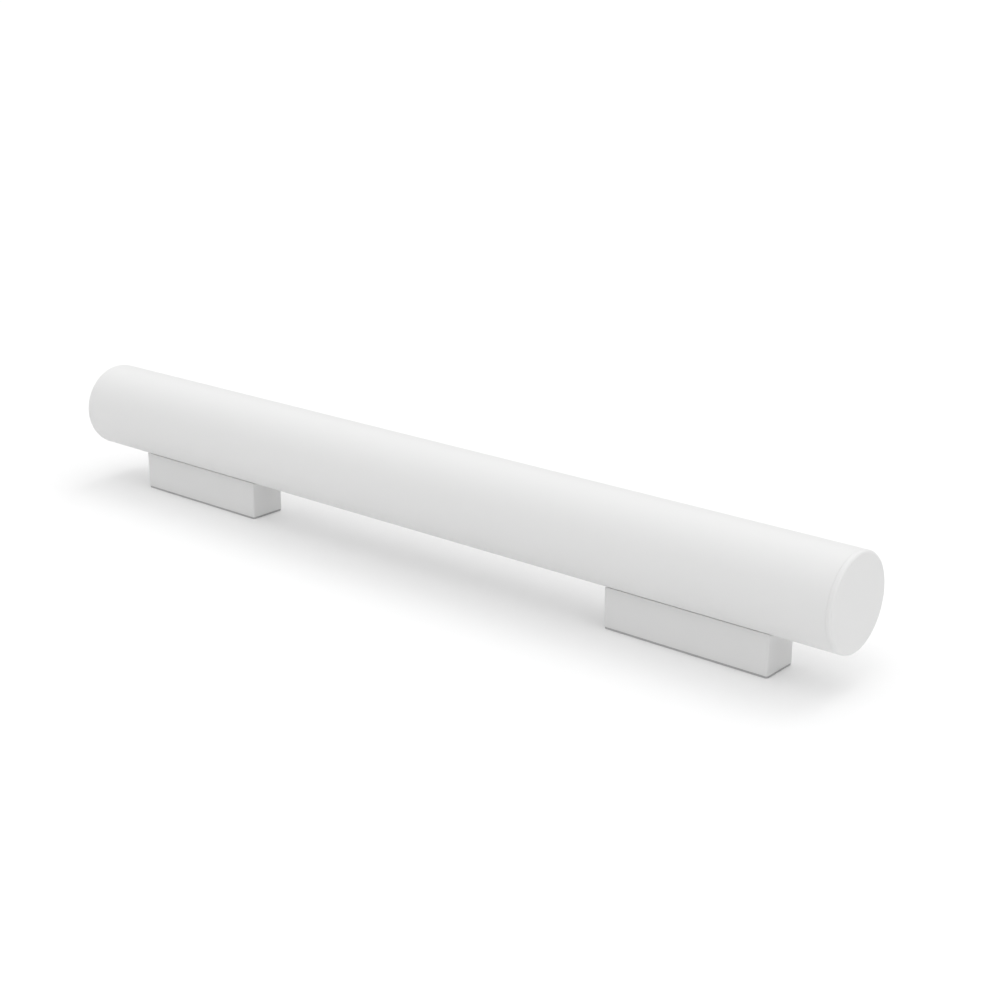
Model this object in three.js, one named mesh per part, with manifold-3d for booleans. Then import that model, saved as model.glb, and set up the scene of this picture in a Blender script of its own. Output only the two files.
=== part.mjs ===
// A straight grab rail: a round rail on two block feet that screw to a wall.
//
// Millimetres, +Z up. The wall's face is the plane z = 0, and the rail runs along X above it.
// The origin is on the wall, under the middle of the rail. The feet's set screws are on the +Y
// side, which hangs downwards, out of sight, when the rail is on a wall.
//
// From the outside in, the rail is a white sleeve on a steel core tube, closed by two end caps.
// Each foot is a white shell round a metal core. Bolts through the core pull a nut bar down
// inside the core tube. A wall plate sits in a recess in the foot's base, and set screws lock it.

import * as THREE from 'three';
import { mergeVertices } from 'three/addons/utils/BufferGeometryUtils.js';
import Module from 'manifold-3d';

// Rail
const RAIL_LENGTH = 404; // over both end caps
const RAIL_DIAMETER = 38;
const RAIL_GAP = 15.4; // from the wall to the rail's underside
const SLEEVE_WALL = 4;
const CORE_TUBE_WALL = 2;
const CORE_TUBE_FIT = 0.1; // radial, inside the sleeve
const CORE_TUBE_INSET = 1; // from the sleeve's end to the core tube's end

// End caps
const CAP_FLANGE = 2;
const CAP_SEAM = 0.05; // between the flange and the sleeve's end
const CAP_EDGE_RADIUS = 1;
const CAP_SPIGOT_LENGTH = 12;
const CAP_SPIGOT_WALL = 3;
const CAP_SPIGOT_FIT = 0.15; // radial, inside the core tube
const CAP_SPIGOT_CHAMFER = 0.8;
const SEAL_SECTION = 1.8; // diameter of the O-ring's round section
const SEAL_FIT = 0.05; // round the O-ring, in its groove and in the core tube
const SEAL_DEPTH_IN = 6; // from the sleeve's end to the O-ring's middle

// Feet
const FOOT_LENGTH = 73.5;
const FOOT_WIDTH = 17.4;
const FOOT_INSET = 29.75; // from the rail's end to the foot
const FOOT_EDGE_RADIUS = 1; // the four upright edges
const SHELL_WALL = 1.5;
const SADDLE_GAP = 0.12; // between the shell's top and the rail
const FOOT_CORE_FIT = 0.15; // round the core, inside the shell
const INNER_EDGE_RADIUS = 0.5; // upright edges of the shell's inside and of the core
const WINDOW_CLEARANCE = 0.2; // round the core, where it passes through the sleeve
const CORE_SADDLE_FIT = 0.1; // between the core's top and the core tube
const CORE_SIDE_WALL = 1.85; // of the core, beside the wall plate's recess
const CORE_END_WALL = 3.9; // of the core, past the ends of the wall plate's recess
const GASKET_THICKNESS = 0.8;
const GASKET_INSET = 0.2; // inside the foot's outline, so that it shows as a fine grey line

// Wall plates
const PLATE_THICKNESS = 4.5;
const PLATE_CORNER_RADIUS = 1.5;
const PLATE_SIDE_CLEARANCE = 0.2;
const PLATE_TOP_CLEARANCE = 0.3;
const WALL_HOLE_INSET = 7; // from the plate's end to the hole's centre
const WALL_HOLE_DIAMETER = 4.4;
const WALL_HOLE_HEAD_DIAMETER = 7.6; // of the 90 degree countersink

// Bolts from each foot's core to its nut bar
const BOLT_PITCH = 24;
const BOLT_DIAMETER = 5;
const BOLT_END_PROUD = 0.5; // past the nut bar
const BOLT_HEAD_DIAMETER = 8.5;
const BOLT_HEAD_HEIGHT = 5;
const BOLT_HEAD_CHAMFER = 0.4;
const BOLT_END_CHAMFER = 0.6;
const BOLT_SOCKET_FLATS = 4;
const BOLT_SOCKET_DEPTH = 2.5;
const BOLT_HOLE_CLEARANCE = 0.25; // radial, in the core and the core tube
const BOLT_HEAD_CLEARANCE = 0.25; // radial, in the counterbore
const BOLT_HEAD_LIFT = 0.3; // from the wall plate's recess up to the head
const THREAD_FIT = 0.1; // radial, between a screw and its threaded hole
const WASHER_DIAMETER = 8.4;
const WASHER_THICKNESS = 1.6;
const WASHER_FIT = 0.1; // radial, round the bolt
const WASHER_SLIT = 0.7;
const SEAT_FIT = 0.05; // between faces that a bolt pulls together
const NUT_BAR_END = 10; // from a bolt's centre to the bar's end
const NUT_BAR_WIDTH = 14;
const NUT_BAR_HEIGHT = 8;
const NUT_BAR_CORNER_RADIUS = 1;
const NUT_BAR_FIT = 0.1; // inside the core tube

// Set screws, shown backed out, with their points clear of the wall plate
const SET_SCREW_DIAMETER = 3;
const SET_SCREW_WEB = 0.5; // of the shell, below the screw's hole
const SET_SCREW_SUNK = 0.4; // from the foot's face to the screw's end
const SET_SCREW_POINT_DIAMETER = 0.6;
const SET_SCREW_END_CHAMFER = 0.2;
const SET_SCREW_SOCKET_FLATS = 1.5;
const SET_SCREW_SOCKET_DEPTH = 1.3;
const SET_SCREW_BACKED_OUT = 0.3; // from the wall plate's edge to the point
const DIMPLE_DEPTH = 0.9; // of the cone in the wall plate's edge that takes the point

// Segments of a full turn
const FINE = 64;
const MEDIUM = 48;
const COARSE = 16;

// Places and sizes that follow
const RAIL_RADIUS = RAIL_DIAMETER / 2;
const RAIL_AXIS_HEIGHT = RAIL_GAP + RAIL_RADIUS;
const SLEEVE_LENGTH = RAIL_LENGTH - 2 * (CAP_FLANGE + CAP_SEAM);
const SLEEVE_BORE_RADIUS = RAIL_RADIUS - SLEEVE_WALL;
const CORE_TUBE_RADIUS = SLEEVE_BORE_RADIUS - CORE_TUBE_FIT;
const CORE_TUBE_LENGTH = SLEEVE_LENGTH - 2 * CORE_TUBE_INSET;
const CORE_TUBE_BORE_RADIUS = CORE_TUBE_RADIUS - CORE_TUBE_WALL;
const FOOT_SPACING = RAIL_LENGTH - 2 * FOOT_INSET - FOOT_LENGTH;
const FOOT_CORE_INSET = SHELL_WALL + FOOT_CORE_FIT;
const RECESS_LENGTH = FOOT_LENGTH - 2 * (FOOT_CORE_INSET + CORE_END_WALL);
const RECESS_WIDTH = FOOT_WIDTH - 2 * (FOOT_CORE_INSET + CORE_SIDE_WALL);
const PLATE_LENGTH = RECESS_LENGTH - 2 * PLATE_SIDE_CLEARANCE;
const PLATE_WIDTH = RECESS_WIDTH - 2 * PLATE_SIDE_CLEARANCE;
const WALL_HOLE_PITCH = PLATE_LENGTH - 2 * WALL_HOLE_INSET;
const RECESS_TOP = PLATE_THICKNESS + PLATE_TOP_CLEARANCE;
const BOLT_HEAD_BOTTOM = RECESS_TOP + BOLT_HEAD_LIFT;
const BOLT_HEAD_TOP = BOLT_HEAD_BOTTOM + BOLT_HEAD_HEIGHT;
const WASHER_BOTTOM = BOLT_HEAD_TOP + SEAT_FIT;
const COUNTERBORE_TOP = WASHER_BOTTOM + WASHER_THICKNESS + SEAT_FIT;
const NUT_BAR_RADIUS = CORE_TUBE_BORE_RADIUS - NUT_BAR_FIT;
const NUT_BAR_BOTTOM = RAIL_AXIS_HEIGHT - NUT_BAR_RADIUS;
const NUT_BAR_TOP = NUT_BAR_BOTTOM + NUT_BAR_HEIGHT;
const NUT_BAR_LENGTH = BOLT_PITCH + 2 * NUT_BAR_END;
const BOLT_RADIUS = BOLT_DIAMETER / 2;
const BOLT_END = NUT_BAR_TOP + BOLT_END_PROUD;
const BOLT_HOLE_RADIUS = BOLT_RADIUS + BOLT_HOLE_CLEARANCE;
const SET_SCREW_RADIUS = SET_SCREW_DIAMETER / 2;
const SET_SCREW_HOLE_RADIUS = SET_SCREW_RADIUS + THREAD_FIT;
const SET_SCREW_POINT_RADIUS = SET_SCREW_POINT_DIAMETER / 2;
const SET_SCREW_HEIGHT = GASKET_THICKNESS + SET_SCREW_WEB + SET_SCREW_HOLE_RADIUS;
const SET_SCREW_PITCH = (BOLT_PITCH + WALL_HOLE_PITCH) / 2;
const BOLT_PLACES = [-BOLT_PITCH / 2, BOLT_PITCH / 2];
const SET_SCREW_PLACES = [-SET_SCREW_PITCH / 2, SET_SCREW_PITCH / 2];
const WALL_HOLE_PLACES = [-WALL_HOLE_PITCH / 2, WALL_HOLE_PITCH / 2];
const OVERCUT = 1; // how far a cutting shape runs past the face that it cuts

const whitePolyamide = new THREE.MeshStandardMaterial({ color: 0xececea, roughness: 0.6, metalness: 0 });
const plainSteel = new THREE.MeshStandardMaterial({ color: 0xa9adb2, roughness: 0.35, metalness: 1 });
const castAluminium = new THREE.MeshStandardMaterial({ color: 0xc3c5c8, roughness: 0.5, metalness: 1 });
const zincPlated = new THREE.MeshStandardMaterial({ color: 0xc9ccd0, roughness: 0.3, metalness: 1 });
const blackOxide = new THREE.MeshStandardMaterial({ color: 0x3a3a3d, roughness: 0.45, metalness: 0.85 });
const greyRubber = new THREE.MeshStandardMaterial({ color: 0xc2c2c3, roughness: 0.8, metalness: 0 });

const wasm = await Module();
wasm.setup();

// A closed three.js geometry as a solid that can be joined and cut.
function solid(geometry) {
  const bare = geometry.clone();
  bare.deleteAttribute('normal');
  bare.deleteAttribute('uv');
  const merged = mergeVertices(bare, 1e-4);
  const corners = merged.index.array;
  const triVerts = [];
  for (let i = 0; i < corners.length; i += 3) {
    const [a, b, c] = [corners[i], corners[i + 1], corners[i + 2]];
    if (a !== b && b !== c && c !== a) triVerts.push(a, b, c);
  }
  return new wasm.Manifold(
    new wasm.Mesh({
      numProp: 3,
      vertProperties: new Float32Array(merged.attributes.position.array),
      triVerts: new Uint32Array(triVerts),
    }),
  );
}

function piece(name, shape, material) {
  const { vertProperties, triVerts } = shape.getMesh();
  const geometry = new THREE.BufferGeometry();
  geometry.setAttribute('position', new THREE.BufferAttribute(vertProperties, 3));
  geometry.setIndex(new THREE.BufferAttribute(triVerts, 1));
  geometry.computeVertexNormals();
  const mesh = new THREE.Mesh(geometry, material);
  mesh.name = name;
  return mesh;
}

// A round bar between two stations on the X, Y or Z axis.
function roundBar(axis, radius, from, to, segments = COARSE) {
  const geometry = new THREE.CylinderGeometry(radius, radius, to - from, segments);
  geometry.translate(0, (from + to) / 2, 0);
  if (axis === 'x') geometry.rotateZ(-Math.PI / 2);
  if (axis === 'z') geometry.rotateX(Math.PI / 2);
  return solid(geometry);
}

// A turned solid: each point is [radius, station on the X, Y or Z axis].
function turned(axis, profile, segments = COARSE) {
  const points = profile.map(([radius, station]) => new THREE.Vector2(radius, station));
  const geometry = new THREE.LatheGeometry(points, segments);
  if (axis === 'x') geometry.rotateZ(-Math.PI / 2);
  if (axis === 'z') geometry.rotateX(Math.PI / 2);
  return solid(geometry);
}

// An upright block with rounded upright edges, between two heights.
function roundedBlock(length, width, radius, bottom, top) {
  const [x, y] = [length / 2, width / 2];
  const outline = new THREE.Shape();
  outline.moveTo(-x + radius, -y);
  outline.lineTo(x - radius, -y);
  outline.absarc(x - radius, -y + radius, radius, -Math.PI / 2, 0);
  outline.lineTo(x, y - radius);
  outline.absarc(x - radius, y - radius, radius, 0, Math.PI / 2);
  outline.lineTo(-x + radius, y);
  outline.absarc(-x + radius, y - radius, radius, Math.PI / 2, Math.PI);
  outline.lineTo(-x, -y + radius);
  outline.absarc(-x + radius, -y + radius, radius, Math.PI, 1.5 * Math.PI);
  const geometry = new THREE.ExtrudeGeometry(outline, {
    depth: top - bottom,
    bevelEnabled: false,
    curveSegments: 3,
  });
  geometry.translate(0, 0, bottom);
  return solid(geometry);
}

// A block of the foot's outline, drawn in by an inset all round.
function footBlock(inset, radius, bottom, top) {
  return roundedBlock(FOOT_LENGTH - 2 * inset, FOOT_WIDTH - 2 * inset, radius, bottom, top);
}

function hexagonBar(axis, acrossFlats, from, to) {
  return roundBar(axis, acrossFlats / 2 / Math.cos(Math.PI / 6), from, to, 6);
}

// The round space under the rail's axis, which a foot's pieces are hollowed to.
function saddle(radius, segments) {
  const half = FOOT_LENGTH / 2 + OVERCUT;
  return roundBar('x', radius, -half, half, segments).translate([0, 0, RAIL_AXIS_HEIGHT]);
}

function makeSleeve() {
  const end = SLEEVE_LENGTH / 2;
  const tube = turned(
    'x',
    [
      [SLEEVE_BORE_RADIUS, -end],
      [RAIL_RADIUS, -end],
      [RAIL_RADIUS, end],
      [SLEEVE_BORE_RADIUS, end],
      [SLEEVE_BORE_RADIUS, -end],
    ],
    FINE,
  );
  const windowInset = FOOT_CORE_INSET - WINDOW_CLEARANCE;
  const window = footBlock(windowInset, INNER_EDGE_RADIUS, -RAIL_RADIUS - OVERCUT, 0);
  return tube
    .subtract(window.translate([-FOOT_SPACING / 2, 0, 0]))
    .subtract(window.translate([FOOT_SPACING / 2, 0, 0]));
}

function makeCoreTube() {
  const end = CORE_TUBE_LENGTH / 2;
  let tube = turned(
    'x',
    [
      [CORE_TUBE_BORE_RADIUS, -end],
      [CORE_TUBE_RADIUS, -end],
      [CORE_TUBE_RADIUS, end],
      [CORE_TUBE_BORE_RADIUS, end],
      [CORE_TUBE_BORE_RADIUS, -end],
    ],
    MEDIUM,
  );
  const hole = roundBar('z', BOLT_HOLE_RADIUS, -CORE_TUBE_RADIUS - OVERCUT, 0);
  for (const footX of [-FOOT_SPACING / 2, FOOT_SPACING / 2]) {
    for (const boltX of BOLT_PLACES) {
      tube = tube.subtract(hole.translate([footX + boltX, 0, 0]));
    }
  }
  return tube;
}

// The cap for the +X end: a round-edged flange, and a hollow spigot with a groove for its seal.
function makeEndCap() {
  const inside = SLEEVE_LENGTH / 2 + CAP_SEAM;
  const outside = RAIL_LENGTH / 2;
  const spigot = CORE_TUBE_BORE_RADIUS - CAP_SPIGOT_FIT;
  const spigotBore = spigot - CAP_SPIGOT_WALL;
  const tip = SLEEVE_LENGTH / 2 - CAP_SPIGOT_LENGTH;
  const groove = SLEEVE_LENGTH / 2 - SEAL_DEPTH_IN;
  const grooveHalf = SEAL_SECTION / 2 + SEAL_FIT;
  const grooveFloor = CORE_TUBE_BORE_RADIUS - SEAL_SECTION - 2 * SEAL_FIT;
  const edgeSteps = 3;
  const edge = [];
  for (let i = 0; i <= edgeSteps; i += 1) {
    const angle = (i / edgeSteps) * (Math.PI / 2);
    edge.push([
      RAIL_RADIUS - CAP_EDGE_RADIUS * (1 - Math.cos(angle)),
      outside - CAP_EDGE_RADIUS * (1 - Math.sin(angle)),
    ]);
  }
  return turned(
    'x',
    [
      [0, inside],
      [spigotBore, inside],
      [spigotBore, tip],
      [spigot - CAP_SPIGOT_CHAMFER, tip],
      [spigot, tip + CAP_SPIGOT_CHAMFER],
      [spigot, groove - grooveHalf],
      [grooveFloor, groove - grooveHalf],
      [grooveFloor, groove + grooveHalf],
      [spigot, groove + grooveHalf],
      [spigot, inside],
      [RAIL_RADIUS, inside],
      ...edge,
      [0, outside],
    ],
    FINE,
  );
}

function makeCapSeal() {
  const section = SEAL_SECTION / 2;
  const ring = new THREE.TorusGeometry(CORE_TUBE_BORE_RADIUS - SEAL_FIT - section, section, 6, 32);
  ring.rotateY(Math.PI / 2);
  return solid(ring).translate([SLEEVE_LENGTH / 2 - SEAL_DEPTH_IN, 0, 0]);
}

function makeRail() {
  const rail = new THREE.Group();
  rail.position.z = RAIL_AXIS_HEIGHT;
  rail.add(piece('rail_sleeve', makeSleeve(), whitePolyamide));
  rail.add(piece('core_tube', makeCoreTube(), plainSteel));
  for (const [side, mirror] of [['left', true], ['right', false]]) {
    const cap = mirror ? makeEndCap().mirror([1, 0, 0]) : makeEndCap();
    const seal = mirror ? makeCapSeal().mirror([1, 0, 0]) : makeCapSeal();
    rail.add(piece(`end_cap_${side}`, cap, whitePolyamide));
    rail.add(piece(`cap_seal_${side}`, seal, greyRubber));
  }
  return rail;
}

// A hole for one set screw, from the wall plate's recess to past the foot's +Y face.
function setScrewHole(x) {
  const [from, to] = [PLATE_WIDTH / 2 - OVERCUT, FOOT_WIDTH / 2 + OVERCUT];
  return roundBar('y', SET_SCREW_HOLE_RADIUS, from, to).translate([x, 0, SET_SCREW_HEIGHT]);
}

// The space for a wall plate, up to a height.
function plateRecess(top) {
  const radius = PLATE_CORNER_RADIUS + PLATE_SIDE_CLEARANCE;
  return roundedBlock(RECESS_LENGTH, RECESS_WIDTH, radius, -OVERCUT, top);
}

function makeFootShell() {
  let shell = footBlock(0, FOOT_EDGE_RADIUS, GASKET_THICKNESS, RAIL_AXIS_HEIGHT)
    .subtract(footBlock(SHELL_WALL, INNER_EDGE_RADIUS, -OVERCUT, RAIL_AXIS_HEIGHT + OVERCUT))
    .subtract(saddle(RAIL_RADIUS + SADDLE_GAP, FINE));
  for (const x of SET_SCREW_PLACES) {
    shell = shell.subtract(setScrewHole(x));
  }
  return shell;
}

function makeFootCore() {
  let core = footBlock(FOOT_CORE_INSET, INNER_EDGE_RADIUS, GASKET_THICKNESS, RAIL_AXIS_HEIGHT)
    .subtract(saddle(CORE_TUBE_RADIUS + CORE_SADDLE_FIT, MEDIUM))
    .subtract(plateRecess(RECESS_TOP));
  const counterboreRadius = BOLT_HEAD_DIAMETER / 2 + BOLT_HEAD_CLEARANCE;
  const counterbore = roundBar('z', counterboreRadius, RECESS_TOP - OVERCUT, COUNTERBORE_TOP);
  const boltHole = roundBar('z', BOLT_HOLE_RADIUS, COUNTERBORE_TOP - OVERCUT, RAIL_AXIS_HEIGHT);
  for (const x of BOLT_PLACES) {
    core = core.subtract(counterbore.translate([x, 0, 0])).subtract(boltHole.translate([x, 0, 0]));
  }
  for (const x of SET_SCREW_PLACES) {
    core = core.subtract(setScrewHole(x));
  }
  return core;
}

function makeBaseGasket() {
  const radius = FOOT_EDGE_RADIUS - GASKET_INSET;
  const pad = footBlock(GASKET_INSET, radius, 0, GASKET_THICKNESS);
  return pad.subtract(plateRecess(GASKET_THICKNESS + OVERCUT));
}

function makeWallPlate() {
  let plate = roundedBlock(PLATE_LENGTH, PLATE_WIDTH, PLATE_CORNER_RADIUS, 0, PLATE_THICKNESS);
  const holeRadius = WALL_HOLE_DIAMETER / 2;
  const headRadius = WALL_HOLE_HEAD_DIAMETER / 2;
  const screwHole = turned('z', [
    [0, -OVERCUT],
    [holeRadius, -OVERCUT],
    [holeRadius, PLATE_THICKNESS - (headRadius - holeRadius)],
    [headRadius, PLATE_THICKNESS],
    [headRadius, PLATE_THICKNESS + OVERCUT],
    [0, PLATE_THICKNESS + OVERCUT],
  ]);
  for (const x of WALL_HOLE_PLACES) {
    plate = plate.subtract(screwHole.translate([x, 0, 0]));
  }
  const dimpleTip = PLATE_WIDTH / 2 - DIMPLE_DEPTH;
  const dimpleFloor = SET_SCREW_POINT_RADIUS + THREAD_FIT;
  const dimple = turned('y', [
    [0, dimpleTip],
    [dimpleFloor, dimpleTip],
    [dimpleFloor + DIMPLE_DEPTH + OVERCUT, dimpleTip + DIMPLE_DEPTH + OVERCUT],
    [0, dimpleTip + DIMPLE_DEPTH + OVERCUT],
  ]);
  for (const x of SET_SCREW_PLACES) {
    plate = plate.subtract(dimple.translate([x, 0, SET_SCREW_HEIGHT]));
  }
  return plate;
}

// A bar that fits the bottom of the core tube's bore, with a threaded hole for each bolt.
function makeNutBar() {
  const bottom = NUT_BAR_BOTTOM - OVERCUT;
  const blank = roundedBlock(NUT_BAR_LENGTH, NUT_BAR_WIDTH, NUT_BAR_CORNER_RADIUS, bottom, NUT_BAR_TOP);
  const hole = roundBar('z', BOLT_RADIUS + THREAD_FIT, bottom, NUT_BAR_TOP + OVERCUT);
  let bar = blank.intersect(saddle(NUT_BAR_RADIUS, MEDIUM));
  for (const x of BOLT_PLACES) {
    bar = bar.subtract(hole.translate([x, 0, 0]));
  }
  return bar;
}

// A socket-head bolt with its head down and its shank up through the foot.
function makeRailBolt() {
  const head = BOLT_HEAD_DIAMETER / 2;
  const bolt = turned('z', [
    [0, BOLT_HEAD_BOTTOM],
    [head - BOLT_HEAD_CHAMFER, BOLT_HEAD_BOTTOM],
    [head, BOLT_HEAD_BOTTOM + BOLT_HEAD_CHAMFER],
    [head, BOLT_HEAD_TOP],
    [BOLT_RADIUS, BOLT_HEAD_TOP],
    [BOLT_RADIUS, BOLT_END - BOLT_END_CHAMFER],
    [BOLT_RADIUS - BOLT_END_CHAMFER, BOLT_END],
    [0, BOLT_END],
  ]);
  const socketTop = BOLT_HEAD_BOTTOM + BOLT_SOCKET_DEPTH;
  return bolt.subtract(hexagonBar('z', BOLT_SOCKET_FLATS, BOLT_HEAD_BOTTOM - OVERCUT, socketTop));
}

function makeSpringWasher() {
  const top = WASHER_BOTTOM + WASHER_THICKNESS;
  const ring = roundBar('z', WASHER_DIAMETER / 2, WASHER_BOTTOM, top);
  const hole = roundBar('z', BOLT_RADIUS + WASHER_FIT, WASHER_BOTTOM - OVERCUT, top + OVERCUT);
  const slit = new THREE.BoxGeometry(WASHER_DIAMETER, WASHER_SLIT, 2 * WASHER_THICKNESS);
  slit.translate(WASHER_DIAMETER / 2, 0, (WASHER_BOTTOM + top) / 2);
  return ring.subtract(hole).subtract(solid(slit));
}

// A cone-point set screw on the Y axis, point inwards.
function makeSetScrew() {
  const point = PLATE_WIDTH / 2 + SET_SCREW_BACKED_OUT;
  const end = FOOT_WIDTH / 2 - SET_SCREW_SUNK;
  const screw = turned('y', [
    [0, point],
    [SET_SCREW_POINT_RADIUS, point],
    [SET_SCREW_RADIUS, point + SET_SCREW_RADIUS - SET_SCREW_POINT_RADIUS],
    [SET_SCREW_RADIUS, end - SET_SCREW_END_CHAMFER],
    [SET_SCREW_RADIUS - SET_SCREW_END_CHAMFER, end],
    [0, end],
  ]);
  const socketFloor = end - SET_SCREW_SOCKET_DEPTH;
  return screw.subtract(hexagonBar('y', SET_SCREW_SOCKET_FLATS, socketFloor, end + OVERCUT));
}

function makeFoot(side, x) {
  const foot = new THREE.Group();
  foot.position.x = x;
  foot.add(piece(`foot_shell_${side}`, makeFootShell(), whitePolyamide));
  foot.add(piece(`foot_core_${side}`, makeFootCore(), castAluminium));
  foot.add(piece(`base_gasket_${side}`, makeBaseGasket(), greyRubber));
  foot.add(piece(`wall_plate_${side}`, makeWallPlate(), zincPlated));
  foot.add(piece(`nut_bar_${side}`, makeNutBar(), plainSteel));
  BOLT_PLACES.forEach((boltX, i) => {
    const bolt = piece(`rail_bolt_${side}_${i + 1}`, makeRailBolt(), zincPlated);
    const washer = piece(`spring_washer_${side}_${i + 1}`, makeSpringWasher(), zincPlated);
    bolt.position.x = boltX;
    washer.position.x = boltX;
    foot.add(bolt, washer);
  });
  SET_SCREW_PLACES.forEach((screwX, i) => {
    const screw = piece(`set_screw_${side}_${i + 1}`, makeSetScrew(), blackOxide);
    screw.position.set(screwX, 0, SET_SCREW_HEIGHT);
    foot.add(screw);
  });
  return foot;
}

const grabRail = new THREE.Group();
grabRail.add(makeRail());
grabRail.add(makeFoot('left', -FOOT_SPACING / 2));
grabRail.add(makeFoot('right', FOOT_SPACING / 2));

export default grabRail;
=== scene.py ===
"""The looks of a straight grab rail: a white round rail on two block feet, with concealed wall plates."""

import math

import bmesh
import bpy
from mathutils import Matrix, Vector


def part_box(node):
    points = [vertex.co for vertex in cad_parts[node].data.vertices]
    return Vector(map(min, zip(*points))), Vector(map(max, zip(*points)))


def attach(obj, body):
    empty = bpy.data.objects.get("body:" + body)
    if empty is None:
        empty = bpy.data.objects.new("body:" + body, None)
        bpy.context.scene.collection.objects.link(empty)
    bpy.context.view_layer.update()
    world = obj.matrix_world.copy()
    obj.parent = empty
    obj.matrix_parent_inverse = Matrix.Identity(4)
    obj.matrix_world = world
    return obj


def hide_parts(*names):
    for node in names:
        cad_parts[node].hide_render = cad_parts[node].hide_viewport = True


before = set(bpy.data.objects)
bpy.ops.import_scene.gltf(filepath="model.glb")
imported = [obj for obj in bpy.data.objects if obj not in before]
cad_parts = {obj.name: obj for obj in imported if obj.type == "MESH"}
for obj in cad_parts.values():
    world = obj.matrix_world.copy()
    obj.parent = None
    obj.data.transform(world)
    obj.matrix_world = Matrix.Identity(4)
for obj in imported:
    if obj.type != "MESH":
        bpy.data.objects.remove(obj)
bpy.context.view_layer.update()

bl_info = {
    "name": "Grab rail looks",
    "version": (1, 0, 0),
    "blender": (4, 5, 0),
    "location": "View3D > Sidebar > Grab rail",
    "description": "Builds the visible pieces of a straight grab rail round its packed frame",
    "category": "Object",
}

SIDES = ("left", "right")
MM = 0.001
OVERCUT = 1.0 * MM  # how far a cutter stands past the face that it cuts
SHARP_ABOVE = math.radians(28.0)  # an edge that turns more than this is shaded sharp
SAME_POINT = 1e-7  # points closer than this are joined
THREAD_DEPTH = 0.61  # of a thread's pitch
THREAD_FLAT = 0.1  # the width of a crest or a root, of the pitch
ROWS_PER_PITCH = 10
HOLE_SEGMENTS = 48
WALL_HOLE_SEGMENTS = 64
SCREW_SEGMENTS = 40
BOLT_SEGMENTS = 64
WASHER_SEGMENTS = 64

# The colour Mix node's sockets go by number, because their names repeat for each type of data.
MIX_FACTOR, MIX_FIRST, MIX_SECOND, MIX_RESULT = 0, 6, 7, 2


# ---------------------------------------------------------------- sizes and colours


def measure(name, description, metres):
    return bpy.props.FloatProperty(name=name, description=description, default=metres, unit="LENGTH")


def angle(name, description, degrees):
    return bpy.props.FloatProperty(
        name=name, description=description, default=math.radians(degrees), subtype="ANGLE"
    )


def brightness(name, description, value):
    return bpy.props.FloatProperty(name=name, description=description, default=value, min=0.0)


def tint(name, description, shade):
    return bpy.props.FloatVectorProperty(
        name=name, description=description, default=shade, subtype="COLOR"
    )


class RailSizes(bpy.types.PropertyGroup):
    segments: bpy.props.IntProperty(
        name="Segments", description="Facets round the rail", default=192, min=24
    )
    tube_fit: measure("Tube fit", "Radial gap between the sleeve's bore and the core tube", 0.1 * MM)
    seam_edge: measure(
        "Seam edge", "Radius of the fine edges at the hairline seam of each cap", 0.03 * MM
    )
    window_fit: measure(
        "Window fit", "Gap round a foot's core where it passes through the sleeve", 0.2 * MM
    )
    cap_flange: measure("Cap flange", "Thickness of an end cap outside the sleeve", 2.0 * MM)
    cap_edge: measure("Cap edge", "Radius of an end cap's outer edge", 1.0 * MM)
    tube_wall: measure("Tube wall", "Wall of the core tube", 2.0 * MM)
    spigot_fit: measure(
        "Spigot fit", "Radial gap between an end cap's spigot and the core tube", 0.15 * MM
    )
    spigot_wall: measure("Spigot wall", "Wall of the hollow spigot behind an end cap", 3.0 * MM)
    spigot_taper: measure("Spigot taper", "Chamfer that leads the spigot into the core tube", 0.8 * MM)
    seal_fit: measure("Seal fit", "Gap round the rubber seal in its groove", 0.05 * MM)


class FootSizes(bpy.types.PropertyGroup):
    edge: measure("Upright edges", "Radius of a foot's four upright edges", 1.0 * MM)
    inner_edge: measure("Inner edges", "Radius of the upright edges inside a foot's shell", 0.5 * MM)
    base_edge: measure("Base edge", "Radius of the shell's lower outer edge", 0.3 * MM)
    saddle_edge: measure("Saddle edge", "Radius of the shell's upper edge, under the rail", 0.25 * MM)
    saddle_gap: measure("Saddle gap", "Shadow gap between the shell and the rail", 0.12 * MM)
    core_fit: measure("Core fit", "Gap between the shell and its core", 0.15 * MM)
    screw_hole: measure("Set screw hole", "Diameter of a set screw's hole in the shell", 3.2 * MM)
    hole_chamfer: measure("Hole chamfer", "Width of the chamfer round a set screw's hole", 0.25 * MM)
    gasket_edge: measure("Gasket edge", "Radius of the gasket's soft edges", 0.15 * MM)


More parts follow.
